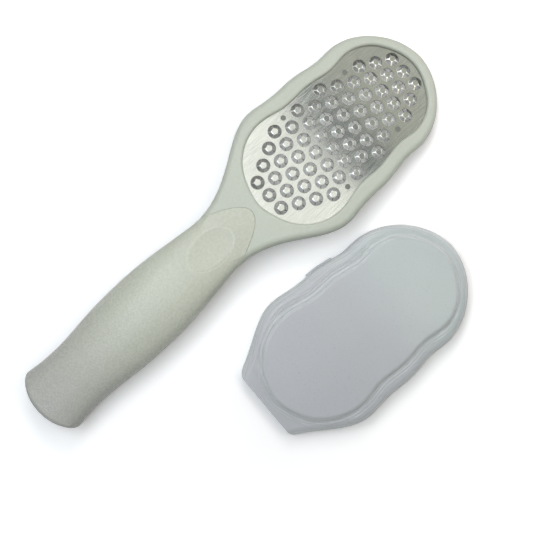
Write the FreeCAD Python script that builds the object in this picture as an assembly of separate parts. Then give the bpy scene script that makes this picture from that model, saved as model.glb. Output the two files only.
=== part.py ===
import FreeCAD, Part
import math
import os
from FreeCAD import Matrix, Vector

# Foot file with its taken-off protective cover. All lengths are millimetres and all angles degrees.
# Origin: centre of the flat under the grip's butt. +X runs to the head's tip, +Z is up, and the
# grating plate faces up. The file is symmetric about the plane y = 0.

# The file along its length, seen from above
tip_x = 212.4
butt_x = -19.9
neck_x = 84.7
head_half_width = 32.6

# The file seen from the side
crest_apex_x = 94.7
crest_apex_z = 20.0
crest_radius = 500.0
back_apex_z = 9.0
back_radius = 624.0
rim_top_round = 3.0
rim_inner_round = 1.2
rim_back_round = 1.2
back_blend_radius = 40.0
back_edge_band = 0.3

# Opening in the rim, through which the plate shows
opening_start_x = 112.55
opening_end_x = 207.6
opening_half_width = 25.9
lip_thickness = 1.75
lip_overlap = 1.1
seat_clearance = 0.15

# Grating plate
plate_thickness = 0.4
plate_play = 0.05
tooth_pitch_y = 7.54
first_column_x = 118.7
column_pitch_arc = 6.97
tooth_columns = (3, 4, 5, 6, 5, 6, 5, 6, 5, 4, 5, 4, 3)
tooth_outer_radius = 3.1
tooth_crown_radius = 1.3
tooth_height = 0.6
tooth_sheet = 0.3
tooth_arm_width = 0.5
tooth_arms = 5
tooth_foot_overlap = 0.35
tooth_window_margin = 0.15
locating_hole_radius = 1.2
locating_columns = (4, 9)
locating_half_spacings = (20.7, 17.3)

# Clamp frame behind the plate
clamp_depth = 2.5
clamp_inner_inset = 1.7
clamp_bead_depth = 0.8
clamp_bead_reach = 0.4
clamp_bead_drop = 0.9
clamp_rib_width = 0.9
clamp_rib_columns = (1, 4, 7, 10)
clamp_post_radius = 2.3
peg_clearance = 0.05
peg_recess = 0.15
groove_clearance = 0.1
cavity_layer_depth = 40.0

# Tang inside the grip
tang_end_x = 14.0
tang_root_half_width = 9.5
tang_end_half_width = 6.5
tang_thickness = 7.0
tang_end_z = 10.6
tang_embed = 6.0

# Grip shells
grip_wall = 2.4
grip_end_x = 84.7
grip_end_radius = 27.0
grip_end_round = 2.2
seam_gap = 0.12
seam_butt_z = 9.6
seam_neck_z = 15.2
lip_height = 1.4
lip_clearance = 0.1
pin_radius = 2.4
pin_clearance = 0.06
pin_shoulder_radius = 4.0
pin_reach = 4.0
pin_stations_x = (26.0, 47.0, 68.0)

# Nose of the front shell, let into the top of the neck
nose_apex_x = 108.2
nose_width_rate = 9.17
nose_depth = 1.5
nose_crown_radius = 50.0
nose_gap = 0.1
nose_root_x = 80.0
nose_edge_round = 0.3
nose_overrun = 20.0

# Thumb dish
dish_x = 83.7
dish_half_length = 12.3
dish_half_width = 8.0
dish_depth = 0.8
dish_rise = 3.0

# Protective cover
cover_wall = 0.85
cover_clearance = 0.25
cover_height = 12.0
cover_cut_x = 103.5
cover_corner_round = 5.5
platform_spread = 0.6
platform_height = 2.3
platform_round = 1.9
platform_shift = 3.0
tab_offset = 4.0
tab_length = 14.0
tab_reach = 0.8
tab_height = 5.0
tab_hook = 0.7
tab_hook_height = 1.0
cover_place_x = 107.7
cover_place_y = -70.2
cover_turn = -3.17

overrun = 5.0
sheet_overrun = 0.5
outer_edge_shares = (2.0, 2.6)
inner_edge_shares = (1.7, 2.1)

# Outline of the neck and head: share of the way from the neck to the tip, and share of the half width
head_outline_shares = (
    (0.000, 0.414),
    (0.086, 0.440),
    (0.173, 0.565),
    (0.243, 0.724),
    (0.312, 0.890),
    (0.394, 1.000),
    (0.458, 0.980),
    (0.528, 0.957),
    (0.588, 0.960),
    (0.647, 0.933),
    (0.710, 0.902),
    (0.774, 0.911),
    (0.829, 0.874),
    (0.887, 0.765),
    (0.932, 0.614),
    (0.971, 0.405),
    (0.993, 0.195),
)

# Outline of the rim's opening: share of its length, and share of its half width
opening_outline_shares = (
    (0.018, 0.310),
    (0.041, 0.517),
    (0.087, 0.747),
    (0.133, 0.876),
    (0.179, 0.955),
    (0.250, 1.000),
    (0.310, 0.980),
    (0.370, 0.930),
    (0.445, 0.913),
    (0.530, 0.924),
    (0.602, 0.892),
    (0.678, 0.859),
    (0.765, 0.892),
    (0.824, 0.869),
    (0.873, 0.797),
    (0.918, 0.672),
    (0.952, 0.512),
    (0.982, 0.311),
)

# Grip sections: station x, half width, top z, bottom z and the exponent of its superellipse
grip_sections = (
    (-26.0, 17.6, 18.6, -0.8, 2.6),
    (-9.0, 16.1, 19.0, -0.8, 2.5),
    (3.0, 15.5, 19.9, -0.7, 2.4),
    (18.0, 16.6, 21.4, -0.5, 2.3),
    (38.0, 17.7, 23.0, 0.4, 2.3),
    (53.0, 17.4, 23.4, 1.8, 2.3),
    (66.5, 16.0, 23.1, 4.2, 2.4),
    (76.5, 14.6, 22.6, 6.6, 2.6),
    (84.7, 13.6, 22.0, 8.4, 2.9),
)
section_points = 28
outline_samples = 40


def crest_z(x, drop=0.0):
    """Height of the rim's crest line at station x, or of the concentric layer that lies drop below it."""
    radius = crest_radius - drop
    return crest_apex_z - crest_radius + math.sqrt(radius**2 - (x - crest_apex_x) ** 2)


def crest_slope(x):
    """Angle by which the crest falls towards the tip at station x."""
    return math.degrees(math.asin((x - crest_apex_x) / crest_radius))


def box(x0, x1, y0, y1, z0, z1):
    return Part.makeBox(x1 - x0, y1 - y0, z1 - z0, Vector(x0, y0, z0))


def rod(radius, x, y, z0, z1):
    return Part.makeCylinder(radius, z1 - z0, Vector(x, y, z0))


def smooth_wire(points, stretches=1):
    """Closed smooth wire through a ring of points, in one or more stretches."""
    curve = Part.BSplineCurve()
    curve.interpolate(points, True)
    first, last = curve.FirstParameter, curve.LastParameter
    ends = [first + (last - first) * i / stretches for i in range(stretches + 1)]
    return Part.Wire([curve.toShape(a, b) for a, b in zip(ends, ends[1:])])


def prism(points, z0, z1, stretches=1):
    """Upright solid between two heights on a smooth outline of (x, y) pairs."""
    wire = smooth_wire([Vector(x, y, z0) for x, y in points], stretches)
    return Part.Face(wire).extrude(Vector(0, 0, z1 - z0))


def offset_ring(points, distance):
    """Outline of (x, y) pairs moved outwards along its normals; a negative distance moves it inwards."""
    if distance == 0:
        return points
    curve = Part.BSplineCurve()
    curve.interpolate([Vector(x, y, 0) for x, y in points], True)
    first, last = curve.FirstParameter, curve.LastParameter
    moved = []
    for i in range(len(points)):
        here = curve.parameter(Vector(points[i][0], points[i][1], 0))
        here = min(max(here, first), last)
        along = curve.tangent(here)[0]
        moved.append((points[i][0] + along.y * distance, points[i][1] - along.x * distance))
    return moved


def head_ring():
    """The +Y side of the head's outline, from beside the tip back to the neck."""
    length = tip_x - neck_x
    upper = [
        (neck_x + along * length, across * head_half_width) for along, across in head_outline_shares
    ]
    upper.reverse()
    return upper


def opening_ring(distance=0.0):
    """The opening's outline, counter-clockwise, moved outwards by distance."""
    length = opening_end_x - opening_start_x
    upper = [
        (opening_start_x + along * length, across * opening_half_width)
        for along, across in opening_outline_shares
    ]
    upper.reverse()
    lower = [(x, -y) for x, y in reversed(upper)]
    ring = [(opening_end_x, 0.0)] + upper + [(opening_start_x, 0.0)] + lower
    return offset_ring(ring, distance)


def open_prism(upper, tip, distance, start, z0, z1):
    """Upright solid on an outline open at the neck, moved outwards by distance and cut at start."""
    lower = [(x, -y) for x, y in reversed(upper)]
    rim = [Vector(x, y, z0) for x, y in lower + [tip] + upper]
    curve = Part.BSplineCurve()
    curve.interpolate(rim)
    moved = []
    for point in rim:
        along = curve.tangent(curve.parameter(point))[0]
        moved.append(Vector(point.x + along.y * distance, point.y - along.x * distance, z0))
    curve = Part.BSplineCurve()
    curve.interpolate(moved)
    first, last = moved[0], moved[-1]
    back_x = min(start, first.x) - overrun
    back = [
        Part.makeLine(last, Vector(back_x, last.y, z0)),
        Part.makeLine(Vector(back_x, last.y, z0), Vector(back_x, first.y, z0)),
        Part.makeLine(Vector(back_x, first.y, z0), first),
    ]
    solid = Part.Face(Part.Wire([curve.toShape()] + back)).extrude(Vector(0, 0, z1 - z0))
    reach = head_half_width + overrun
    return solid.common(box(start, tip[0] + overrun, -reach, reach, z0, z1))


def head_prism(distance, start_x, z0, z1):
    """Upright solid on the head's outline moved outwards by distance, cut square at start_x."""
    return open_prism(head_ring(), (tip_x, 0.0), distance, start_x, z0, z1)


def arc_through(x0, x1, height):
    """Arc in the plane y = 0 from station x0 to x1 whose heights come from a function of x."""
    middle = (x0 + x1) / 2
    return Part.Arc(
        Vector(x0, 0, height(x0)), Vector(middle, 0, height(middle)), Vector(x1, 0, height(x1))
    ).toShape()


def layer(drop_top, drop_bottom, x0, x1, reach):
    """Solid between two layers concentric with the crest, wide enough to span the head."""
    upper = arc_through(x0, x1, lambda x: crest_z(x, drop_top))
    lower = arc_through(x0, x1, lambda x: crest_z(x, drop_bottom))
    sides = [
        Part.makeLine(Vector(x, 0, crest_z(x, drop_top)), Vector(x, 0, crest_z(x, drop_bottom)))
        for x in (x0, x1)
    ]
    face = Part.Face(Part.Wire(Part.__sortEdges__([upper, lower] + sides)))
    face.translate(Vector(0, -reach, 0))
    return face.extrude(Vector(0, 2 * reach, 0))


def back_z(x):
    """Height of the head's back at station x, above the flat on which it rests."""
    return back_apex_z - back_radius + math.sqrt(back_radius**2 - (x - crest_apex_x) ** 2)


def back_flat_x():
    """Station from which the head's back is cut flat to rest on a table."""
    return crest_apex_x + math.sqrt(back_radius**2 - (back_radius - back_apex_z) ** 2)


def side_profile_solid(x0, x1, reach):
    """Solid between the crest and the back of the head."""
    flat_x = back_flat_x()
    upper = arc_through(x0, x1, crest_z)
    lower = arc_through(x0, flat_x, back_z)
    edges = [
        upper,
        lower,
        Part.makeLine(Vector(x0, 0, crest_z(x0)), Vector(x0, 0, back_z(x0))),
        Part.makeLine(Vector(flat_x, 0, 0), Vector(x1, 0, 0)),
        Part.makeLine(Vector(x1, 0, 0), Vector(x1, 0, crest_z(x1))),
    ]
    face = Part.Face(Part.Wire(Part.__sortEdges__(edges)))
    face.translate(Vector(0, -reach, 0))
    return face.extrude(Vector(0, 2 * reach, 0))


def edges_at(solid, test):
    """Edges of a solid whose every sampled point passes a test."""
    found = []
    for edge in solid.Edges:
        if edge.Length > sheet_overrun and all(test(p) for p in edge.discretize(Number=7)):
            found.append(edge)
    return found


def superellipse(x, half_width, top, bottom, exponent, inset=0.0):
    """Closed section across the grip at station x, drawn in by inset."""
    a = half_width - inset
    b = (top - bottom) / 2 - inset
    middle = (top + bottom) / 2
    points = []
    for i in range(section_points):
        angle = 2 * math.pi * i / section_points
        c, s = math.cos(angle), math.sin(angle)
        y = a * math.copysign(abs(c) ** (2 / exponent), c)
        z = b * math.copysign(abs(s) ** (2 / exponent), s)
        points.append(Vector(x, y, middle + z))
    return smooth_wire(points)


def grip_loft(inset=0.0, start=None, end=None):
    """Solid through the grip's sections, drawn in by inset and cut between two stations."""
    solid = Part.makeLoft([superellipse(*row, inset=inset) for row in grip_sections], True, False)
    x0 = grip_sections[0][0] if start is None else start
    x1 = grip_end_x if end is None else end
    reach = head_half_width + overrun
    return solid.common(box(x0, x1, -reach, reach, -overrun, cover_height + crest_apex_z))


def butt_end(inset=0.0):
    """Upright cylinder that rounds the butt in plan, drawn in by inset."""
    radius = grip_end_radius - inset
    low, high = -overrun, crest_apex_z + cover_height
    disc = Part.makeCylinder(radius, high - low, Vector(butt_x + grip_end_radius, 0, low))
    reach = head_half_width + overrun
    rest = box(butt_x + grip_end_radius, tip_x, -reach, reach, low, high)
    return disc.fuse(rest)


def seam_block(lift, above):
    """Half space on one side of the slanted seam plane, moved up by lift."""
    angle = math.degrees(math.atan2(seam_neck_z - seam_butt_z, grip_end_x - butt_x))
    reach = head_half_width + overrun
    depth = crest_apex_z + cover_height
    low, high = (0, depth) if above else (-depth, 0)
    block = box(-overrun, tip_x, -reach, reach, low, high)
    block.rotate(Vector(0, 0, 0), Vector(0, 1, 0), -angle)
    block.translate(Vector(butt_x, 0, seam_butt_z + lift))
    return block


def neck_z():
    """Mid height of the neck where the grip starts."""
    return (crest_z(neck_x) + back_z(neck_x)) / 2


def tang_z(x):
    """Height of the tang's centre line."""
    return tang_end_z + (neck_z() - tang_end_z) * (x - tang_end_x) / (neck_x - tang_end_x)


def tang_solid(growth=0.0):
    """Tapered bar from the neck into the grip, grown all round by growth."""
    wires = []
    ends = (
        (tang_end_x - growth, tang_end_half_width),
        (neck_x + tang_embed, tang_root_half_width),
    )
    for x, half_width in ends:
        h = tang_thickness / 2 + growth
        w = half_width + growth
        z = tang_z(x)
        corners = [Vector(x, -w, z - h), Vector(x, w, z - h), Vector(x, w, z + h), Vector(x, -w, z + h)]
        wires.append(Part.makePolygon(corners + corners[:1]))
    return Part.makeLoft(wires, True, True)


def nose_ring(growth):
    """Pointed arch in plan that the front shell's nose fills, from its root to its apex."""
    apex = nose_apex_x + growth
    points = []
    half = outline_samples // 4
    widest = math.sqrt(nose_width_rate * (nose_apex_x - nose_root_x)) + growth
    for i in range(-half, half + 1):
        y = widest * i / half
        points.append(Vector(apex - y**2 / nose_width_rate, y, 0))
    curve = Part.BSplineCurve()
    curve.interpolate(points)
    close = Part.makeLine(points[-1], points[0])
    return Part.Wire([curve.toShape(), close])


def nose_prism(growth, depth):
    """Solid above the pocket floor on the nose's outline."""
    solid = Part.Face(nose_ring(growth)).extrude(Vector(0, 0, crest_apex_z + cover_height))
    reach = head_half_width + overrun
    floor = layer(-cover_height, depth, nose_root_x - nose_overrun, nose_apex_x + overrun, reach)
    return solid.common(floor)


def nose_crown():
    """Long cylinder whose top is the nose's surface, falling to the neck at the apex."""
    length = (nose_apex_x - nose_root_x) + nose_overrun + overrun
    fall = nose_width_rate / (2 * nose_crown_radius)
    angle = math.degrees(math.atan(fall))
    start = nose_apex_x - length + overrun
    crown = Part.makeCylinder(nose_crown_radius, length, Vector(0, 0, 0), Vector(1, 0, 0))
    crown.rotate(Vector(0, 0, 0), Vector(0, 1, 0), angle)
    top_at_start = crest_z(nose_apex_x) + fall * (nose_apex_x - start)
    crown.translate(Vector(start, 0, top_at_start - nose_crown_radius))
    return crown


def make_nose():
    """The nose alone: flush with the neck along its outline, where its edge is rounded."""
    nose = nose_prism(0.0, nose_depth - plate_play).common(nose_crown()).Solids[0]
    depth = nose_depth / 2

    def on_outline(point):
        off = abs(abs(point.y) - math.sqrt(max(0.0, nose_width_rate * (nose_apex_x - point.x))))
        return off < nose_gap and point.z > crest_z(point.x, depth)

    rim = [edge for edge in edges_at(nose, on_outline) if edge.BoundBox.XLength > nose_depth]
    return nose.makeFillet(nose_edge_round, rim)


def column_station(index):
    """Station x of a column of teeth, stepped evenly along the curved plate."""
    angle = math.asin((first_column_x - crest_apex_x) / crest_radius)
    angle += index * column_pitch_arc / crest_radius
    return crest_apex_x + crest_radius * math.sin(angle)


def tooth_places():
    """Plan places of the teeth, in staggered columns centred on the axis."""
    places = []
    for index, count in enumerate(tooth_columns):
        for k in range(count):
            places.append((column_station(index), (k - (count - 1) / 2) * tooth_pitch_y))
    return places


def locating_places():
    """Plan places of the plate's four plain holes."""
    return [
        (column_station(index), side * half)
        for index, half in zip(locating_columns, locating_half_spacings)
        for side in (-1, 1)
    ]


def set_on_plate(shape, x, y, drop):
    """Stand a shape made about the origin upright on the layer that lies drop below the crest."""
    placed = shape.copy()
    placed.rotate(Vector(0, 0, 0), Vector(0, 1, 0), crest_slope(x))
    placed.translate(Vector(x, y, crest_z(x, drop)))
    return placed


def tooth():
    """Raised star: a small crown carried on sloping arms, with a window between each two arms."""
    foot = tooth_outer_radius + tooth_foot_overlap
    sunk = plate_thickness / 4
    profile = [
        Vector(0, 0, tooth_height),
        Vector(tooth_crown_radius, 0, tooth_height),
        Vector(tooth_outer_radius, 0, -sunk),
        Vector(foot, 0, -sunk),
        Vector(foot, 0, -sunk - plate_thickness / 2),
        Vector(tooth_outer_radius - tooth_sheet / 2, 0, -sunk - plate_thickness / 2),
        Vector(tooth_crown_radius - tooth_sheet / 2, 0, tooth_height - tooth_sheet),
        Vector(0, 0, tooth_height - tooth_sheet),
    ]
    star = Part.Face(Part.makePolygon(profile + profile[:1])).revolve(
        Vector(0, 0, 0), Vector(0, 0, 1), 360
    )
    for i in range(tooth_arms):
        star = star.cut(tooth_window(i))
    return star


def tooth_window(index):
    """Petal-shaped window between two neighbouring arms."""
    inner = tooth_crown_radius + tooth_window_margin
    outer = tooth_outer_radius - tooth_window_margin
    half_step = math.pi / tooth_arms
    middle = 2 * half_step * index + half_step
    ends = []
    for radius in (inner, outer):
        spread = half_step - math.asin(tooth_arm_width / 2 / radius)
        ends.append([(radius, middle + side * spread) for side in (-1, 0, 1)])
    low = -2 * tooth_height

    def at(polar):
        return Vector(polar[0] * math.cos(polar[1]), polar[0] * math.sin(polar[1]), low)

    inner_arc = Part.Arc(*[at(p) for p in ends[0]]).toShape()
    outer_arc = Part.Arc(*[at(p) for p in ends[1]]).toShape()
    sides = [Part.makeLine(at(ends[0][k]), at(ends[1][k])) for k in (0, 2)]
    wire = Part.Wire(Part.__sortEdges__([inner_arc, sides[0], outer_arc, sides[1]]))
    return Part.Face(wire).extrude(Vector(0, 0, 4 * tooth_height))


def make_grater_plate():
    """Thin curved sheet with rows of raised star teeth and four plain locating holes."""
    drop = lip_thickness + plate_play
    reach = head_half_width + overrun
    sheet = layer(drop, drop + plate_thickness, opening_start_x - overrun, opening_end_x + overrun, reach)
    sheet = sheet.common(prism(opening_ring(lip_overlap), -overrun, crest_apex_z + overrun))
    holes = []
    stars = []
    hole = rod(tooth_outer_radius, 0, 0, -2 * plate_thickness - tooth_height, tooth_height)
    star = tooth()
    for x, y in tooth_places():
        holes.append(set_on_plate(hole, x, y, drop))
        stars.append(set_on_plate(star, x, y, drop))
    plain = rod(locating_hole_radius, 0, 0, -2 * plate_thickness - tooth_height, tooth_height)
    for x, y in locating_places():
        holes.append(set_on_plate(plain, x, y, drop))
    sheet = sheet.cut(Part.makeCompound(holes))
    return sheet.fuse(stars)


def make_clamp_frame():
    """Frame behind the plate: a beaded ring, cross ribs under the sheet and four locating pegs."""
    top = lip_thickness + 2 * plate_play + plate_thickness
    bottom = top + clamp_depth
    reach = head_half_width + overrun
    span = (opening_start_x - overrun, opening_end_x + overrun)
    low, high = -overrun, crest_apex_z + overrun
    outer = prism(opening_ring(lip_overlap), low, high)
    inner = prism(opening_ring(-clamp_inner_inset), low, high)
    body = layer(top, bottom, *span, reach)
    ring = outer.cut(inner)
    ribs = []
    for index in clamp_rib_columns:
        x = (column_station(index) + column_station(index + 1)) / 2
        ribs.append(box(x - clamp_rib_width / 2, x + clamp_rib_width / 2, -reach, reach, low, high))
    posts = [rod(clamp_post_radius, x, y, low, high) for x, y in locating_places()]
    for x, y in locating_places():
        y0, y1 = min(y, math.copysign(reach, y)), max(y, math.copysign(reach, y))
        posts.append(box(x - clamp_rib_width, x + clamp_rib_width, y0, y1, low, high))
    frame = ring.fuse([piece.common(outer) for piece in ribs + posts]).common(body)
    bead_top = top + clamp_bead_drop
    bead = prism(opening_ring(lip_overlap + clamp_bead_reach), low, high).cut(inner)
    bead = bead.common(layer(bead_top, bead_top + clamp_bead_depth, *span, reach))
    frame = frame.fuse(bead)
    peg_height = plate_thickness + plate_play - peg_recess
    peg = rod(locating_hole_radius - peg_clearance, 0, 0, -clamp_depth / 2, peg_height)
    return frame.fuse([set_on_plate(peg, x, y, top) for x, y in locating_places()]).removeSplitter()


def rim_edges(solid, smallest_share, largest_share):
    """Long edges on the crest whose length is between two shares of the head's length."""
    length = tip_x - neck_x

    def on_crest(point):
        return abs(point.z - crest_z(point.x)) < plate_play

    return [
        edge
        for edge in edges_at(solid, on_crest)
        if smallest_share * length < edge.Length < largest_share * length
    ]


def back_crease(solid):
    """The edge across the back where its arch meets the flat that rests on a table."""
    return edges_at(solid, lambda p: abs(p.x - back_flat_x()) < plate_play and abs(p.z) < plate_play)


def back_edges(solid):
    """Edges round the head's back, without the creases that cross it."""

    def on_back(point):
        level = max(0.0, back_z(point.x)) if point.x < back_flat_x() else 0.0
        return abs(point.z - level) < back_edge_band

    return [
        edge
        for edge in edges_at(solid, on_back)
        if edge.BoundBox.XLength > plate_play
    ]


def make_head_frame():
    """Rigid moulding: rim with its overhanging lip, neck, and the tang that the grip encloses."""
    reach = head_half_width + overrun
    low, high = -overrun, crest_apex_z + overrun
    span = (opening_start_x - overrun, opening_end_x + overrun)
    body = head_prism(0.0, neck_x, low, high)
    body = body.common(side_profile_solid(neck_x, tip_x + overrun / 2, reach)).Solids[0]
    body = body.makeFillet(back_blend_radius, back_crease(body))
    body = body.makeFillet(rim_top_round, rim_edges(body, *outer_edge_shares))
    body = body.makeFillet(rim_back_round, back_edges(body))
    body = body.cut(prism(opening_ring(), low, high)).Solids[0]
    body = body.makeFillet(rim_inner_round, rim_edges(body, *inner_edge_shares))
    cavity = prism(opening_ring(lip_overlap + seat_clearance), low, high)
    body = body.cut(cavity.common(layer(lip_thickness, cavity_layer_depth, *span, reach)))
    groove_top = lip_thickness + 2 * plate_play + plate_thickness + clamp_bead_drop - groove_clearance
    groove = prism(opening_ring(lip_overlap + clamp_bead_reach + seat_clearance), low, high)
    groove_bottom = groove_top + clamp_bead_depth + 2 * groove_clearance
    body = body.cut(groove.common(layer(groove_top, groove_bottom, *span, reach)))
    body = body.cut(nose_prism(nose_gap, nose_depth))
    body = body.fuse(tang_solid())
    for x in pin_stations_x:
        body = body.cut(rod(pin_radius + pin_clearance, x, 0, low, high))
    return body.removeSplitter()


def hollow(inset):
    """The grip's outer form drawn in all round by inset."""
    reach = head_half_width + overrun
    form = grip_loft(inset, butt_x + inset, grip_end_x - inset).common(butt_end(inset))
    return form.common(box(butt_x - overrun, tip_x, -reach, reach, inset, crest_apex_z + cover_height))


def grip_form():
    """The grip's outer form with the edge of its butt rounded."""
    form = hollow(0.0).Solids[0]
    middle_x = butt_x + grip_end_radius

    def on_end(point):
        return abs(math.hypot(point.x - middle_x, point.y) - grip_end_radius) < plate_play

    rim = [edge for edge in edges_at(form, on_end) if edge.BoundBox.YLength > plate_play]
    return form.makeFillet(grip_end_round, rim)


def grip_shell(above):
    """One hollow half of the grip, on one side of the slanted seam."""
    shell = grip_form().cut(hollow(grip_wall))
    side = 1 if above else -1
    shell = shell.common(seam_block(side * seam_gap / 2, above))
    return shell.cut(tang_solid(seat_clearance))


def make_grip_front():
    """Upper half of the grip, with the thumb dish, the nose let into the neck, and the pins."""
    shell = grip_shell(True)
    rebate = hollow(grip_wall / 2).common(seam_block(lip_height + lip_clearance, False))
    shell = shell.cut(rebate)
    section = superellipse(*grip_sections[-1])
    end_form = Part.Face(section).extrude(Vector(nose_apex_x - grip_end_x + overrun, 0, 0))
    end_form = end_form.fuse(hollow(0.0))
    shell = shell.fuse(make_nose().common(end_form))
    core = hollow(grip_wall / 2)
    room = tang_solid(plate_play)
    for x in pin_stations_x:
        top = crest_apex_z + cover_height
        shoulder = rod(pin_shoulder_radius, x, 0, tang_z(x), top).common(core).cut(room)
        pin = rod(pin_radius, x, 0, tang_z(x) - tang_thickness / 2 - pin_reach, top).common(core)
        shell = shell.fuse([shoulder, pin])
    return shell.cut(thumb_dish()).removeSplitter()


def make_grip_rear():
    """Lower half of the grip, with the locating lip and the sockets that take the pins."""
    shell = grip_shell(False)
    lip = hollow(grip_wall / 2 + lip_clearance).cut(hollow(grip_wall))
    lip = lip.common(seam_block(lip_height, False)).common(seam_block(-lip_height, True))
    shell = shell.fuse(lip.cut(tang_solid(seat_clearance)))
    core = hollow(grip_wall / 2)
    room = tang_solid(plate_play)
    for x in pin_stations_x:
        socket = rod(pin_shoulder_radius, x, 0, -overrun, tang_z(x)).common(core).cut(room)
        floor = tang_z(x) - tang_thickness / 2 - pin_reach - lip_clearance
        bore = rod(pin_radius + pin_clearance, x, 0, floor, tang_z(x))
        shell = shell.fuse(socket).cut(bore)
    return shell


def thumb_dish():
    """Shallow oval hollow that the thumb rests in."""
    share = math.sqrt(1 - ((dish_rise - dish_depth) / dish_rise) ** 2)
    ball = Part.makeSphere(dish_rise, Vector(0, 0, 0), Vector(0, 1, 0))
    stretch = Matrix()
    stretch.scale(dish_half_length / share / dish_rise, dish_half_width / share / dish_rise, 1)
    dish = ball.transformGeometry(stretch)
    fall = math.degrees(math.atan(nose_width_rate / (2 * nose_crown_radius)))
    dish.rotate(Vector(0, 0, 0), Vector(0, 1, 0), fall)
    top = grip_sections[-1][2]
    dish.translate(Vector(dish_x, 0, top + dish_rise - dish_depth))
    return dish


def cover_middle_x():
    return (cover_cut_x + tip_x) / 2


def cover_point(x, y):
    """Place on the head's outline, carried into the level frame of the cover."""
    tilt = math.radians(crest_slope(cover_middle_x()))
    along = x - cover_middle_x()
    down = crest_z(x) - crest_z(cover_middle_x())
    return (along * math.cos(tilt) - down * math.sin(tilt), y)


def cover_prism(distance, start, z0, z1):
    """Upright solid on the head's outline in the cover's frame, moved outwards by distance."""
    upper = [cover_point(x, y) for x, y in head_ring()]
    tip = cover_point(tip_x, 0.0)
    return open_prism(upper, tip, distance, start, z0, z1)


def cover_layer(rise, z0):
    """Solid from height z0 up to the arched layer that lies rise above the head's crest."""
    span = tip_x - cover_cut_x
    reach = head_half_width + overrun + tab_reach
    radius = crest_radius + rise
    top = cover_height - cover_wall - cover_clearance + rise
    x0, x1 = -span / 2 - 2 * overrun, span / 2 + 2 * overrun

    def height(x):
        return top - radius + math.sqrt(radius**2 - x**2)

    edges = [
        arc_through(x0, x1, height),
        Part.makeLine(Vector(x0, 0, height(x0)), Vector(x0, 0, z0)),
        Part.makeLine(Vector(x0, 0, z0), Vector(x1, 0, z0)),
        Part.makeLine(Vector(x1, 0, z0), Vector(x1, 0, height(x1))),
    ]
    face = Part.Face(Part.Wire(Part.__sortEdges__(edges)))
    face.translate(Vector(0, -reach, 0))
    return face.extrude(Vector(0, 2 * reach, 0))


def cover_form(distance, start, z0, rounding):
    """Plain domed form of the cover: outline moved by distance, arched top and rounded edge."""
    form = cover_prism(distance, start, z0, cover_height + overrun)
    form = form.common(cover_layer(distance, z0)).Solids[0]
    top = cover_height - cover_wall - cover_clearance + distance
    radius = crest_radius + distance

    def on_top(point):
        return abs(point.z - top + radius - math.sqrt(radius**2 - point.x**2)) < plate_play

    edges = [edge for edge in edges_at(form, on_top) if edge.BoundBox.XLength > cover_height]
    return form.makeFillet(rounding, edges)


def platform_form(distance, rise, rounding):
    """Raised panel of the cover, with sloping sides."""
    ring = []
    widest_x = opening_start_x + (opening_end_x - opening_start_x) / 4
    for x, y in opening_ring(distance):
        stretch = max(0.0, widest_x - x) / (widest_x - opening_start_x)
        ring.append(cover_point(x - platform_shift * stretch, y))
    base = cover_height - overrun
    form = prism(ring, base, cover_height + overrun, 2).common(cover_layer(rise, base)).Solids[0]
    top = cover_height - cover_wall - cover_clearance + rise
    radius = crest_radius + rise

    def on_top(point):
        return abs(point.z - top + radius - math.sqrt(radius**2 - point.x**2)) < plate_play

    return form.makeFillet(rounding, edges_at(form, on_top))


def outside_corner(form, cut):
    """What lies outside the round, in plan, of the corner beside the cover's open end."""
    reach = head_half_width + overrun
    stations = (cut + cover_wall, cut + cover_corner_round / 2)
    widths = []
    for x in stations:
        slab = form.common(box(x, x + plate_play, 0, reach, cover_wall, cover_wall + plate_play))
        widths.append(slab.BoundBox.YMax)
    slope = (widths[1] - widths[0]) / (stations[1] - stations[0])
    slant = math.hypot(1, slope)
    middle_x = cut + cover_corner_round
    middle_y = widths[0] + slope * (middle_x - stations[0]) - cover_corner_round * slant
    touch_x = middle_x - cover_corner_round * slope / slant
    top = cover_height + crest_apex_z
    piece = box(cut - overrun, touch_x, middle_y, reach, -overrun, top)
    return piece.cut(rod(cover_corner_round, middle_x, middle_y, -2 * overrun, top + overrun))


def make_protective_cover():
    """Thin domed cap, open below and at the neck, with a raised panel and two latching tabs."""
    cut = -(tip_x - cover_cut_x) / 2
    skin = cover_wall + cover_clearance
    outer = cover_form(skin, cut, 0.0, rim_top_round + skin)
    corner = outside_corner(outer, cut)
    outer = outer.cut([corner, corner.mirror(Vector(0, 0, 0), Vector(0, 1, 0))])
    inner = cover_form(cover_clearance, cut - overrun, -overrun, rim_top_round + cover_clearance)
    panel = platform_form(platform_spread, skin + platform_height, platform_round)
    room_round = platform_round - cover_wall
    panel_room = platform_form(platform_spread - cover_wall, cover_clearance + platform_height, room_round)
    reach = head_half_width + overrun
    tab_span = (tab_offset - tab_length / 2, tab_offset + tab_length / 2, -reach, reach)
    middle = cover_clearance + cover_wall / 2
    tabs = cover_prism(skin + tab_reach, cut, 0.0, tab_height).common(box(*tab_span, 0.0, tab_height))
    tabs = tabs.cut(cover_prism(middle, cut, -overrun, tab_height + overrun))
    hook_span = (tab_offset - tab_length / 3, tab_offset + tab_length / 3, -reach, reach)
    hooks = cover_prism(middle, cut, 0.0, tab_hook_height).common(box(*hook_span, 0.0, tab_hook_height))
    hooks = hooks.cut(cover_prism(cover_clearance - tab_hook, cut, -overrun, tab_hook_height + overrun))
    cover = outer.fuse(panel).cut(inner.fuse(panel_room)).fuse([tabs, hooks])
    cover.rotate(Vector(0, 0, 0), Vector(0, 0, 1), cover_turn)
    cover.translate(Vector(cover_place_x, cover_place_y, 0))
    return cover


def write(name, shape):
    """Save one piece and print its state."""
    shape.exportStep("parts/" + name + ".step")
    bounds = shape.BoundBox
    size = [round(v, 1) for v in (bounds.XLength, bounds.YLength, bounds.ZLength)]
    print(name, shape.isValid(), len(shape.Solids), round(shape.Volume, 1), size)


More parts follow.
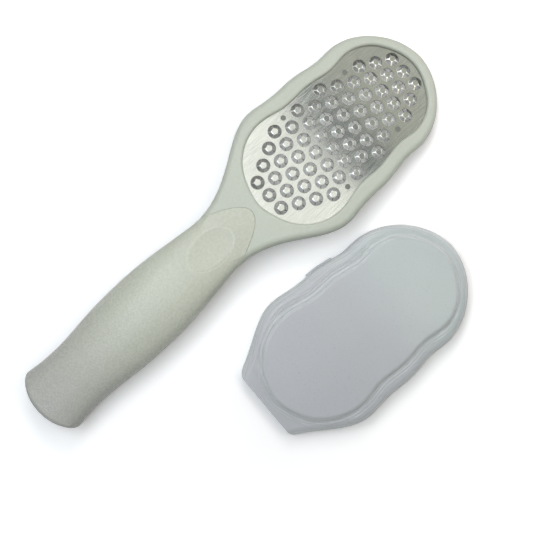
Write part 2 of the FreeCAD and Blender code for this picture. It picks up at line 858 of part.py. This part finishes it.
def main():
    os.makedirs("parts", exist_ok=True)
    write("head_frame", make_head_frame())
    write("grater_plate", make_grater_plate())
    write("clamp_frame", make_clamp_frame())
    write("grip_front", make_grip_front())
    write("grip_rear", make_grip_rear())
    write("protective_cover", make_protective_cover())


main()
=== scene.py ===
import math

import bmesh
import bpy
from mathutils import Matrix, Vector
from mathutils.bvhtree import BVHTree


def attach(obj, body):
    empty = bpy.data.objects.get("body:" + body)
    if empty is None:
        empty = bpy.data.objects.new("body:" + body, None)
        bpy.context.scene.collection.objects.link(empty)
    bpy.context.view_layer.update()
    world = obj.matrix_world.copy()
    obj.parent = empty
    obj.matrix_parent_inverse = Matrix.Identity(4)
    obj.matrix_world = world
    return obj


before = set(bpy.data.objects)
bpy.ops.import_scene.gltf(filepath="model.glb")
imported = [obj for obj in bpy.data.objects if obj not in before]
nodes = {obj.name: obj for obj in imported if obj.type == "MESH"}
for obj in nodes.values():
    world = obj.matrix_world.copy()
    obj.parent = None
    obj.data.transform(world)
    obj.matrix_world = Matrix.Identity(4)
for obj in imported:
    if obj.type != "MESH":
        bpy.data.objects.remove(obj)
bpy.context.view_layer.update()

# A foot file and its cap, which is taken off, lie on a pale table and are seen from straight above.
# Lengths are in metres, in the frame of the CAD, and colours are linear.

# Colours

WHITE = (1.0, 1.0, 1.0)
BLACK = (0.0, 0.0, 0.0)
CREAM = (0.496, 0.532, 0.459)
GRIP = (0.512, 0.540, 0.456)
# The grip's colour at its butt is painted shade, darker and greyer than the rest of the grip
GRIP_SHADE_AT_BUTT = (0.394, 0.394, 0.376)
# The pegs' grey is their plastic and also painted shade, dark enough to pass for the shade in the plate's
# small holes
PEG_GREY_AND_HOLE_SHADE = (0.165, 0.178, 0.157)
STEEL = (0.44, 0.452, 0.428)
# The teeth's flanks are painted with shade, with less of it towards the tip
TOOTH_FLANK_PAINTED_SHADE = (0.175, 0.182, 0.171)
TOOTH_FLANK_LESS_SHADE_AT_TIP = (0.290, 0.300, 0.278)
# The crowns' paler colour is a painted highlight
TOOTH_CROWN_PAINTED_HIGHLIGHT = (0.58, 0.59, 0.56)
FROST = (0.482, 0.500, 0.525)
# Painted light: the cover's top turns lighter and greener towards the tip
FROST_PAINTED_LIGHT_AT_TIP = (0.490, 0.545, 0.545)
# The walls' paleness is painted light, which lifts the shade of the walls and creases
FROST_WALL_PAINTED_LIGHT = (0.740, 0.778, 0.788)


def scaled(colour, factor):
    return tuple(min(1.0, c * factor) for c in colour)


def grey(level):
    return (level, level, level)


# Node trees


def new_material(name):
    made = bpy.data.materials.new(name)
    made.use_nodes = True
    tree = made.node_tree
    return made, tree, tree.nodes["Principled BSDF"]


def add_node(tree, kind, **settings):
    """A shader node with its named properties and unlinked sockets set."""
    node = tree.nodes.new(kind)
    for key, value in settings.items():
        if hasattr(node, key):
            setattr(node, key, value)
        else:
            node.inputs[key.replace("_", " ")].default_value = value
    return node


def feed(tree, socket, value):
    """Gives a socket its value, which may come from another socket."""
    if isinstance(value, bpy.types.NodeSocket):
        tree.links.new(value, socket)
    elif socket.type == "RGBA":
        socket.default_value = (*value, 1)
    else:
        socket.default_value = value


def place_on(tree):
    """Where a point of the surface is in the object's coordinates, which are the frame's for a CAD node."""
    return add_node(tree, "ShaderNodeTexCoord").outputs["Object"]


def facing(tree):
    """Which way the surface faces in the object's coordinates."""
    return add_node(tree, "ShaderNodeTexCoord").outputs["Normal"]


def separated(tree, vector):
    node = add_node(tree, "ShaderNodeSeparateXYZ")
    feed(tree, node.inputs[0], vector)
    return node.outputs


def stretched(tree, where, scale):
    """Coordinates with a scale of their own along X, Y and Z."""
    node = add_node(tree, "ShaderNodeMapping", Scale=scale)
    feed(tree, node.inputs["Vector"], where)
    return node.outputs["Vector"]


def noise(tree, where, scale, detail=2.0, roughness=0.5):
    node = add_node(tree, "ShaderNodeTexNoise", Scale=scale, Detail=detail, Roughness=roughness)
    feed(tree, node.inputs["Vector"], where)
    return node.outputs["Fac"]


def calculated(tree, operation, *values):
    """The result of a Math node, whose values may be numbers or sockets."""
    node = add_node(tree, "ShaderNodeMath", operation=operation)
    for socket, value in zip(node.inputs, values):
        feed(tree, socket, value)
    return node.outputs[0]


def calculated_vector(tree, operation, *values):
    """The same for vectors, where a length, distance or dot product comes out as a number."""
    node = add_node(tree, "ShaderNodeVectorMath", operation=operation)
    for socket, value in zip(node.inputs, values):
        feed(tree, socket, value)
    return node.outputs["Value" if operation in ("LENGTH", "DISTANCE", "DOT_PRODUCT") else "Vector"]


def between(tree, value, low, high):
    """0 below low and 1 above high, with a smooth change between them."""
    node = add_node(tree, "ShaderNodeMapRange", interpolation_type="SMOOTHSTEP", From_Min=low, From_Max=high)
    feed(tree, node.inputs["Value"], value)
    return node.outputs[0]


def ramp(tree, factor, span, first, last):
    """A colour or grey up to the start of a span and another from its end, with a straight change between."""
    node = add_node(tree, "ShaderNodeValToRGB")
    for element, position, colour in zip(node.color_ramp.elements, span, (first, last)):
        element.position = position
        element.color = (*colour, 1) if isinstance(colour, tuple) else (*grey(colour), 1)
    feed(tree, node.inputs["Fac"], factor)
    return node.outputs["Color"]


def mixed(tree, factor, first, second, kind="MIX"):
    """Two colours mixed; the factor and the colours may be values or sockets."""
    node = add_node(tree, "ShaderNodeMix", data_type="RGBA", blend_type=kind)
    for socket, value in ((node.inputs[0], factor), (node.inputs[6], first), (node.inputs[7], second)):
        feed(tree, socket, value)
    return node.outputs[2]


def bump(tree, height, distance, strength=1.0, under=None):
    """The surface raised by a height, on top of the bump under it, if there is one."""
    node = add_node(tree, "ShaderNodeBump", Strength=strength, Distance=distance)
    feed(tree, node.inputs["Height"], height)
    if under is not None:
        feed(tree, node.inputs["Normal"], under)
    return node.outputs["Normal"]


# Spans of noise over which a ramp changes

WIDE = (0.30, 0.70)
MIDDLE = (0.35, 0.65)
SHARP = (0.45, 0.55)

# Moulded plastic. The butt's and the thumb's spans lie along the file. Over the butt's span the grip is given
# painted shade

PLASTIC_IOR = 1.46
DRIFT_LOW = 0.965
DRIFT_HIGH = 1.03
FLECK_GREYS = (0.35, 0.9)
FLECK_SHARE = 0.04
FLECK_SHARE_ON_GRIP = 0.09
SCUFF_SHARE = 0.25
WAVE_DEPTH = 0.00012
WAVE_STRENGTH = 0.5
BUTT_SHADE_SPAN = (-0.045, 0.065)
THUMB_SPAN = (0.052, 0.076)
THUMB_SCUFFS = (0.35, 0.68)
THUMB_ROUGHNESS = (0.42, 0.52)

# The thumb dish is an oval hollow. The reach from its middle is 1 at its edge

DISH_X = 0.0837
DISH_HALF_LENGTH = 0.0123
DISH_HALF_WIDTH = 0.0080
LINE_REACH = 0.97
LINE_HALF_WIDTH = 0.06
HIGHLIGHT_PALENESS = 1.10


def dish_edge_highlight(tree, where):
    """A fine pale line round the edge of the thumb dish, a painted highlight."""
    on_oval = calculated_vector(tree, "MULTIPLY_ADD", where, (1 / DISH_HALF_LENGTH, 1 / DISH_HALF_WIDTH, 0),
                                (-DISH_X / DISH_HALF_LENGTH, 0, 0))
    reach = calculated_vector(tree, "LENGTH", on_oval)
    inner = between(tree, reach, LINE_REACH - LINE_HALF_WIDTH, LINE_REACH)
    outer = between(tree, reach, LINE_REACH, LINE_REACH + LINE_HALF_WIDTH)
    return calculated(tree, "SUBTRACT", inner, outer)


def moulded_plastic(name, colour, grain_size, grain_depth, roughness, butt=None):
    """Moulded plastic: a faint drift of colour, flecks, a fine grain, and scuffs that show in the gloss.
    Where a colour is given for the butt, it is the grip, which turns darker and greyer towards its butt,
    painted shade, and has a painted highlight round the thumb dish's edge and an evener gloss from the thumb
    to the nose."""
    made, tree, shader = new_material(name)
    where = place_on(tree)
    flecks = noise(tree, where, scale=900.0)
    scuffs = noise(tree, where, scale=160.0, detail=4.0, roughness=0.6)
    grain = noise(tree, where, scale=1.0 / grain_size, roughness=0.55)
    tint = ramp(tree, noise(tree, where, scale=28.0, detail=3.0), WIDE, scaled(colour, DRIFT_LOW),
                scaled(colour, DRIFT_HIGH))
    gloss = ramp(tree, mixed(tree, SCUFF_SHARE, grain, scuffs), SHARP, roughness[1], roughness[0])
    fleck_share = FLECK_SHARE
    if butt is not None:
        along = separated(tree, where)["X"]
        # Painted shade: the grip darkens and greys towards its butt
        tint = mixed(tree, between(tree, along, *BUTT_SHADE_SPAN), butt, tint)
        # Painted highlight along the thumb dish's edge
        tint = mixed(tree, dish_edge_highlight(tree, where), tint, scaled(colour, HIGHLIGHT_PALENESS))
        rubbed = ramp(tree, scuffs, THUMB_SCUFFS, *THUMB_ROUGHNESS)
        gloss = mixed(tree, between(tree, along, *THUMB_SPAN), gloss, rubbed)
        fleck_share = FLECK_SHARE_ON_GRIP
    tint = mixed(tree, fleck_share, tint, ramp(tree, flecks, MIDDLE, *FLECK_GREYS), "OVERLAY")
    waves = bump(tree, noise(tree, where, scale=120.0, detail=1.0), WAVE_DEPTH, WAVE_STRENGTH)
    feed(tree, shader.inputs["Base Color"], tint)
    feed(tree, shader.inputs["Roughness"], gloss)
    feed(tree, shader.inputs["Normal"], bump(tree, grain, grain_depth, under=waves))
    shader.inputs["IOR"].default_value = PLASTIC_IOR
    return made


# Steel sheet, bent about an axis that lies across the file, far below it

CREST_X = 0.0947
CREST_RADIUS = 0.5
SHEET_AXIS_Z = -0.48
SHEET_TOP_RADIUS = 0.4982
BLOOM_LOW = 0.95
BLOOM_HIGH = 1.03
ROLLING_SCALE = (120.0, 2600.0, 400.0)
ROLLING_GREYS = (0.22, 0.72)
ROLLING_SHARE = 0.17
ROLLING_DEPTH = 0.000012
ROLLING_STRENGTH = 0.6
SHEET_ROUGHNESS = (0.17, 0.25)
FLANK_ROUGHNESS = 0.40
FLANK_ROUGHNESS_AT_TIP = 0.27
CROWN_ROUGHNESS = 0.18

# Where a tooth's flank gives way to the sheet, by how it faces, and to the crown, by its height in metres,
# and where along the file the flanks' painted shade eases

FLANK_TO_SHEET = (0.958, 0.984)
FLANK_TO_CROWN = (0.00038, 0.00050)
FLANK_SHADE_EASING = (0.132, 0.160)


def along_crest(tree, where):
    """How nearly a surface lies along the bent sheet: 1 on the sheet and less on a tooth's flank."""
    sine = calculated(tree, "MULTIPLY_ADD", separated(tree, where)["X"], 1 / CREST_RADIUS,
                      -CREST_X / CREST_RADIUS)
    cosine = calculated(tree, "COSINE", calculated(tree, "ARCSINE", sine))
    upright = add_node(tree, "ShaderNodeCombineXYZ")
    feed(tree, upright.inputs["X"], sine)
    feed(tree, upright.inputs["Z"], cosine)
    return calculated_vector(tree, "DOT_PRODUCT", facing(tree), upright.outputs[0])


def rise_on_sheet(tree, where):
    """Height above the top of the bent sheet."""
    from_axis = calculated_vector(tree, "MULTIPLY_ADD", where, (1, 0, 1), (-CREST_X, 0, -SHEET_AXIS_Z))
    return calculated(tree, "SUBTRACT", calculated_vector(tree, "LENGTH", from_axis), SHEET_TOP_RADIUS)


def etched_steel(name):
    """Rolled stainless sheet: a soft polish, a dull bloom from etching and faint rolling lines along the
    file. The teeth have rougher flanks darkened with painted shade, less towards the tip, and smoother crowns
    lightened with a painted highlight."""
    made, tree, shader = new_material(name)
    where = place_on(tree)
    bloom = noise(tree, where, scale=45.0, detail=3.0)
    lines = noise(tree, stretched(tree, where, ROLLING_SCALE), scale=1.0, detail=3.0, roughness=0.6)
    sheet = ramp(tree, bloom, WIDE, scaled(STEEL, BLOOM_LOW), scaled(STEEL, BLOOM_HIGH))
    sheet = mixed(tree, ROLLING_SHARE, sheet, ramp(tree, lines, MIDDLE, *ROLLING_GREYS), "OVERLAY")
    flat = between(tree, along_crest(tree, where), *FLANK_TO_SHEET)
    on_crown = between(tree, rise_on_sheet(tree, where), *FLANK_TO_CROWN)
    at_tip = between(tree, separated(tree, where)["X"], *FLANK_SHADE_EASING)
    # Painted shade on the flanks, lighter towards the tip
    flank = mixed(tree, at_tip, TOOTH_FLANK_PAINTED_SHADE, TOOTH_FLANK_LESS_SHADE_AT_TIP)
    # Painted highlight on the crowns
    tooth = mixed(tree, on_crown, flank, TOOTH_CROWN_PAINTED_HIGHLIGHT)
    flank_gloss = mixed(tree, at_tip, grey(FLANK_ROUGHNESS), grey(FLANK_ROUGHNESS_AT_TIP))
    tooth_gloss = mixed(tree, on_crown, flank_gloss, grey(CROWN_ROUGHNESS))
    sheet_gloss = ramp(tree, lines, WIDE, *SHEET_ROUGHNESS)
    feed(tree, shader.inputs["Base Color"], mixed(tree, flat, tooth, sheet))
    feed(tree, shader.inputs["Roughness"], mixed(tree, flat, tooth_gloss, sheet_gloss))
    feed(tree, shader.inputs["Normal"], bump(tree, lines, ROLLING_DEPTH, ROLLING_STRENGTH))
    shader.inputs["Metallic"].default_value = 1.0
    return made


# Frosted plastic. Painted light makes its top lighter and greener along the file and its walls paler; a wall
# is what faces less far upwards

FROST_IOR = 1.49
FROST_DEPTH = 0.002
FROST_TIP_LIGHT_SPAN = (0.108, 0.142)
WALL_TO_TOP = (0.70, 0.985)
STREAK_SPACING = 0.0007
STREAK_SPAN = (0.2, 0.8)
STREAK_LOW = 0.78
CLOUD_GREYS = (0.3, 0.7)
CLOUD_SHARE = 0.06
SKIN_DEPTH = 0.00002
SKIN_STRENGTH = 0.6


def frosted_plastic(name, through, roughness, painted_paleness=1.0, ripple=0.0):
    """Translucent frosted shell: light comes through it, its skin scatters the gloss, and its walls are
    painted paler than its top, painted light that lifts the shade in its creases, with fine level streaks.
    Its top is painted lighter and greener towards the tip. A ripple breaks the gloss of its thin mouldings,
    and a paleness given to it is painted light."""
    made, tree, shader = new_material(name)
    where = place_on(tree)
    place = separated(tree, where)
    clouds = noise(tree, where, scale=22.0)
    skin = noise(tree, where, scale=1400.0)
    at_tip = between(tree, place["X"], *FROST_TIP_LIGHT_SPAN)
    # Painted light towards the tip
    top = mixed(tree, at_tip, scaled(FROST, painted_paleness), scaled(FROST_PAINTED_LIGHT_AT_TIP, painted_paleness))
    upward = between(tree, separated(tree, facing(tree))["Z"], *WALL_TO_TOP)
    streaks = calculated(tree, "SINE", calculated(tree, "MULTIPLY", place["Z"], 2 * math.pi / STREAK_SPACING))
    # Painted light on the walls
    wall = ramp(tree, streaks, STREAK_SPAN, scaled(FROST_WALL_PAINTED_LIGHT, STREAK_LOW), FROST_WALL_PAINTED_LIGHT)
    tint = mixed(tree, upward, wall, top)
    tint = mixed(tree, CLOUD_SHARE, tint, ramp(tree, clouds, WIDE, *CLOUD_GREYS), "OVERLAY")
    rippled = bump(tree, noise(tree, where, scale=520.0), ripple)
    feed(tree, shader.inputs["Base Color"], tint)
    feed(tree, shader.inputs["Roughness"], ramp(tree, skin, WIDE, *roughness))
    feed(tree, shader.inputs["Normal"], bump(tree, skin, SKIN_DEPTH, SKIN_STRENGTH, rippled))
    shader.inputs["Subsurface Weight"].default_value = through
    shader.inputs["Subsurface Radius"].default_value = (1.0, 1.0, 1.0)
    shader.inputs["Subsurface Scale"].default_value = FROST_DEPTH
    shader.inputs["IOR"].default_value = FROST_IOR
    return made


# Finishes of the CAD nodes

cream = moulded_plastic("cream_moulding", CREAM, grain_size=0.00060, grain_depth=0.00008,
                        roughness=(0.36, 0.48))
grip = moulded_plastic("grained_grip", GRIP, grain_size=0.00080, grain_depth=0.00017,
                       roughness=(0.13, 0.44), butt=GRIP_SHADE_AT_BUTT)
pegs = moulded_plastic("grey_moulding", PEG_GREY_AND_HOLE_SHADE, grain_size=0.00050, grain_depth=0.00002,
                       roughness=(0.50, 0.62))
steel = etched_steel("etched_steel")
frost = frosted_plastic("frosted_shell", through=0.5, roughness=(0.26, 0.34))
# The trim is painted 5% paler, painted light along its thin mouldings
frost_trim = frosted_plastic("frosted_trim", through=0.0, roughness=(0.08, 0.16), painted_paleness=1.05,
                             ripple=0.00050)

finishes = {
    "head_frame": (cream, "cream_plastic"),
    "grater_plate": (steel, "etched_steel"),
    "clamp_frame": (pegs, "grey_plastic"),
    "grip_front": (grip, "grained_grip"),
    "grip_rear": (grip, "grained_grip"),
    "protective_cover": (frost, "frosted_plastic"),
}

for name, (finish, slot) in finishes.items():
    piece = nodes[name]
    if not piece.material_slots:
        piece.data.materials.append(finish)
    for place in piece.material_slots:
        place.material = finish

# The cover's raised panel, whose edge is where the surface has fallen by a share of the panel's rise

COVER_MIDDLE = (0.1077, -0.0702)
PANEL_CROWN = 0.0143
PANEL_RADIUS = 0.5035
PANEL_RISE = 0.0023
EDGE_FALL = 0.7
BORDER_STEPS = 360
BORDER_REACH = 0.06
HALVINGS = 18
SMOOTHINGS = 3
RAY_START = 0.1

# Fine mouldings round the panel. A profile's points are outwards and upwards from a line on the cover

GROUND_ASIDE = 0.0006
BEAD_OFFSETS = (0.0019, 0.0031)
BEAD = [(-0.00030, -0.00006), (-0.00017, 0.00014), (0.0, 0.00019), (0.00017, 0.00014), (0.00030, -0.00006)]
FOOT = [(-0.00020, -0.00008), (-0.00020, 0.00105), (0.00008, 0.00066), (0.00042, 0.00028), (0.00095, 0.00005),
        (0.00120, -0.00008)]


def surface_under(tree, x, y):
    """The height of the topmost surface over a place in plan."""
    hit = tree.ray_cast(Vector((x, y, RAY_START)), Vector((0, 0, -1)))[0]
    return hit.z if hit is not None else 0.0


def panel_border(tree):
    """Places in plan round the raised panel's edge, found by looking down on the cover."""
    middle_x, middle_y = COVER_MIDDLE
    ring = []
    for i in range(BORDER_STEPS):
        angle = 2 * math.pi * i / BORDER_STEPS
        inside, outside = 0.0, BORDER_REACH
        for _ in range(HALVINGS):
            reach = (inside + outside) / 2
            x, y = middle_x + reach * math.cos(angle), middle_y + reach * math.sin(angle)
            crown = PANEL_CROWN - (x - middle_x) ** 2 / (2 * PANEL_RADIUS)
            if surface_under(tree, x, y) > crown - EDGE_FALL * PANEL_RISE:
                inside = reach
            else:
                outside = reach
        ring.append(Vector((middle_x + inside * math.cos(angle), middle_y + inside * math.sin(angle))))
    for _ in range(SMOOTHINGS):
        ring = [(ring[i - 1] + 2 * ring[i] + ring[(i + 1) % len(ring)]) / 4 for i in range(len(ring))]
    return ring


def moulding(name, tree, ring, offset, profile):
    """A closed fine bead or fillet that runs round the panel, offset outwards from its edge."""
    verts, faces = [], []
    count, across = len(ring), len(profile)
    for i, here in enumerate(ring):
        along = (ring[(i + 1) % count] - ring[i - 1]).normalized()
        out = Vector((along.y, -along.x))
        ground = surface_under(tree, *(here + out * (offset + GROUND_ASIDE)))
        for aside, up in profile:
            at = here + out * (offset + aside)
            verts.append((at.x, at.y, ground + up))
        for k in range(across):
            a, b = i * across + k, i * across + (k + 1) % across
            c, d = ((i + 1) % count) * across + (k + 1) % across, ((i + 1) % count) * across + k
            faces.append((a, b, c, d))
    mesh = bpy.data.meshes.new(name)
    mesh.from_pydata(verts, [], faces)
    mesh.polygons.foreach_set("use_smooth", [True] * len(mesh.polygons))
    mesh.materials.append(frost_trim)
    piece = bpy.data.objects.new(name, mesh)
    bpy.context.scene.collection.objects.link(piece)
    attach(piece, "cover")


cover_mesh = bmesh.new()
cover_mesh.from_mesh(nodes["protective_cover"].data)
looking_down = BVHTree.FromBMesh(cover_mesh)
cover_mesh.free()
border = panel_border(looking_down)
moulding("panel_foot", looking_down, border, 0.0, FOOT)
for number, offset in enumerate(BEAD_OFFSETS):
    moulding("border_bead_%d" % (number + 1), looking_down, border, offset, BEAD)

# Floor. The rays that see it find it paler than those that bounce from it to the object

FLOOR_SIZE = 8.0
FLOOR_DROP = 0.00002
FLOOR_ROUGHNESS = 0.9
FLOOR_SEEN = 0.99
FLOOR_SEEN_EXTRA = 0.21
FLOOR_BOUNCE = 0.26
FLOOR_LIFT = 0.03
FLOOR_LIFT_TINT = (0.92, 1.0, 1.06)
FLOOR_MIDDLE = (0.0965, 0.0, 0.0)
WHITE_FROM = 0.105
WHITE_BY = 0.27


def strength_for(tree, *kinds):
    """1 for any of these kinds of ray and 0 for the rest."""
    path = add_node(tree, "ShaderNodeLightPath")
    found = path.outputs[kinds[0]]
    for kind in kinds[1:]:
        found = calculated(tree, "MAXIMUM", found, path.outputs[kind])
    return found


def level_sheet(name, width, depth, place):
    """A level rectangle round its place."""
    w, d = width / 2, depth / 2
    mesh = bpy.data.meshes.new(name)
    mesh.from_pydata([(-w, -d, 0), (w, -d, 0), (w, d, 0), (-w, d, 0)], [], [(0, 1, 2, 3)])
    sheet = bpy.data.objects.new(name, mesh)
    sheet.location = place
    bpy.context.scene.collection.objects.link(sheet)
    return sheet


def pale_floor():
    """A pale finish that keeps the object's shadow, and turns white for the camera away from its middle."""
    made, tree, shader = new_material("pale_floor")
    shader.inputs["Roughness"].default_value = FLOOR_ROUGHNESS
    shader.inputs["Specular IOR Level"].default_value = 0.0
    shader.inputs["Emission Color"].default_value = (*FLOOR_LIFT_TINT, 1)
    seen = strength_for(tree, "Is Camera Ray", "Is Glossy Ray", "Is Transmission Ray")
    feed(tree, shader.inputs["Base Color"], mixed(tree, seen, grey(FLOOR_BOUNCE), grey(FLOOR_SEEN)))
    away = calculated_vector(tree, "DISTANCE", place_on(tree), FLOOR_MIDDLE)
    far_white = calculated(tree, "MULTIPLY", between(tree, away, WHITE_FROM, WHITE_BY),
                           strength_for(tree, "Is Camera Ray"))
    glow = calculated(tree, "MULTIPLY_ADD", seen, FLOOR_LIFT, far_white)
    feed(tree, shader.inputs["Emission Strength"], glow)
    extra = add_node(tree, "ShaderNodeBsdfDiffuse")
    feed(tree, extra.inputs["Color"], mixed(tree, seen, BLACK, grey(FLOOR_SEEN_EXTRA)))
    both = add_node(tree, "ShaderNodeAddShader")
    feed(tree, both.inputs[0], shader.outputs[0])
    feed(tree, both.inputs[1], extra.outputs[0])
    feed(tree, tree.nodes["Material Output"].inputs["Surface"], both.outputs[0])
    return made


floor = level_sheet("floor", FLOOR_SIZE, FLOOR_SIZE, (0.0, 0.0, -FLOOR_DROP))
floor.data.materials.append(pale_floor())

# World. It is white where it is seen, and what shines mirrors a paler sky than the one that lights it

SKY_SPAN = (0.25, 0.62)
SKY_LOW = (0.15, 0.15, 0.15)
SKY_HIGH = (0.28, 0.28, 0.26)
MIRRORED_SPAN = (0.10, 0.40)
MIRRORED_LOW = (0.20, 0.20, 0.20)
MIRRORED_HIGH = (0.74, 0.75, 0.66)

world = bpy.data.worlds.new("studio")
bpy.context.scene.world = world
world.use_nodes = True
sky = world.node_tree
upward = separated(sky, add_node(sky, "ShaderNodeTexCoord").outputs["Generated"])["Z"]
surround = ramp(sky, upward, SKY_SPAN, SKY_LOW, SKY_HIGH)
mirrored = ramp(sky, upward, MIRRORED_SPAN, MIRRORED_LOW, MIRRORED_HIGH)
surround = mixed(sky, strength_for(sky, "Is Glossy Ray"), surround, mirrored)
seen_through = strength_for(sky, "Is Camera Ray", "Is Transmission Ray")
feed(sky, sky.nodes["Background"].inputs["Color"], mixed(sky, seen_through, surround, WHITE))
sky.nodes["Background"].inputs["Strength"].default_value = 1.0

# Light


def softbox(name, place, aim, width, depth, radiance, colour=WHITE):
    """A rectangular soft light of that radiance, seen in reflections and not by the camera."""
    data = bpy.data.lights.new(name, "AREA")
    data.shape = "RECTANGLE"
    data.size = width
    data.size_y = depth
    data.energy = math.pi * width * depth * radiance
    data.color = colour
    lamp = bpy.data.objects.new(name, data)
    lamp.location = place
    lamp.rotation_euler = (Vector(aim) - Vector(place)).to_track_quat("-Z", "Y").to_euler()
    lamp.visible_camera = False
    bpy.context.scene.collection.objects.link(lamp)
    return lamp


def flag(name, place, width, depth, colour):
    """A dim card beside the lamps, which only what shines mirrors."""
    card = level_sheet(name, width, depth, place)
    made, tree, shader = new_material(name)
    shader.inputs["Base Color"].default_value = (*BLACK, 1)
    shader.inputs["Specular IOR Level"].default_value = 0.0
    shader.inputs["Emission Color"].default_value = (*colour, 1)
    shader.inputs["Emission Strength"].default_value = 1.0
    card.data.materials.append(made)
    card.visible_camera = False
    card.visible_diffuse = False
    card.visible_shadow = False
    card.visible_transmission = False


# Each row has a lamp's name, place and aim, its width and depth, its radiance and its colour

LAMPS = [
    ("overhead", (0.14, 0.065, 0.42), (0.14, 0.065, 0.0), 0.33, 0.37, 1.05, WHITE),
    ("side", (0.25, -0.15, 0.42), (0.16, -0.06, 0.0), 0.14, 0.09, 3.5, (1.05, 1.0, 0.88)),
    ("key", (0.02, 0.15, 0.42), (0.10, 0.0, 0.0), 0.22, 0.20, 3.5, (0.97, 1.0, 1.06)),
    ("tip", (0.34, 0.24, 0.42), (0.19, 0.0, 0.0), 0.20, 0.20, 4.2, WHITE),
    ("far", (0.50, -0.12, 0.20), (0.15, -0.03, 0.0), 0.25, 0.15, 2.0, WHITE),
    ("sheen", (-0.090, 0.016, 0.46), (0.05, 0.0, 0.0), 0.08, 0.08, 9.8, (0.86, 0.97, 1.18)),
]

for row in LAMPS:
    softbox(*row)

# A small lamp near the tip lifts the rim there and isn't mirrored in the plate

fill = softbox("fill", place=(0.232, 0.006, 0.085), aim=(0.195, 0.0, 0.01), width=0.05, depth=0.06,
               radiance=1.15, colour=(1.14, 0.97, 1.07))
fill.visible_glossy = False

# The plate mirrors this card in its upper half

flag("flag", place=(0.35, 0.02, 0.419), width=0.085, depth=0.16, colour=(0.19, 0.215, 0.25))

# Camera, straight above and turned as the photograph is

CAMERA_PLACE = (0.09647, -0.02186, 0.380)
CAMERA_TURN = -43.17
SENSOR_WIDTH = 36.0
FOCAL_LENGTH = 56.03
CLIP_START = 0.01
CLIP_END = 50.0

data = bpy.data.cameras.new("camera")
data.sensor_width = SENSOR_WIDTH
data.lens = FOCAL_LENGTH
data.clip_start = CLIP_START
data.clip_end = CLIP_END
camera = bpy.data.objects.new("camera", data)
camera.location = CAMERA_PLACE
camera.rotation_euler = (0.0, 0.0, math.radians(CAMERA_TURN))
bpy.context.scene.collection.objects.link(camera)
bpy.context.scene.camera = camera
bpy.context.scene.view_settings.view_transform = "Standard"
